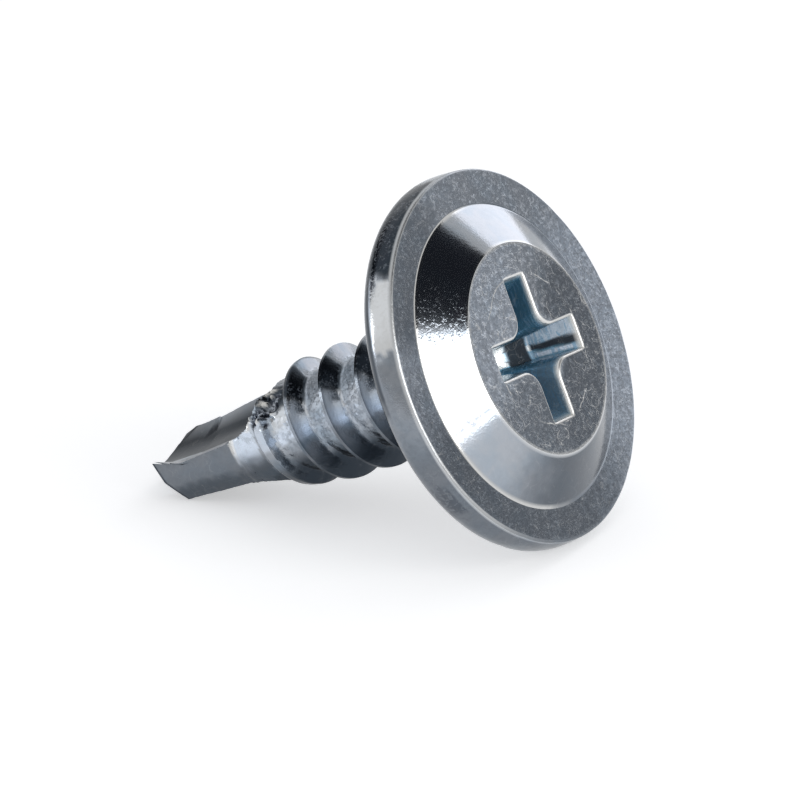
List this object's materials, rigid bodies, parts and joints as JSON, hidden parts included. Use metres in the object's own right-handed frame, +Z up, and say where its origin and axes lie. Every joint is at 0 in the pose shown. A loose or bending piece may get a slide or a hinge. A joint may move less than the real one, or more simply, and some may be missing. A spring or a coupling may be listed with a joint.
{
  "type": "self drilling screw",
  "caption": "Short steel self drilling screw with a wide wafer head, a cross recess, a coarse right-hand thread and a fluted drill point.",
  "frame": {"origin": "centre of the outline seen from above, on the floor that the screw lies on", "axes": "+Z up, +X along the floor from the drill point towards the head"},
  "size_m": [0.0152, 0.011, 0.0105],
  "materials": {
    "zinc_steel": "bright zinc plate with a faint blue cast"
  },
  "bodies": {
    "root": {"screw": "zinc_steel"}
  },
  "joints": []
}
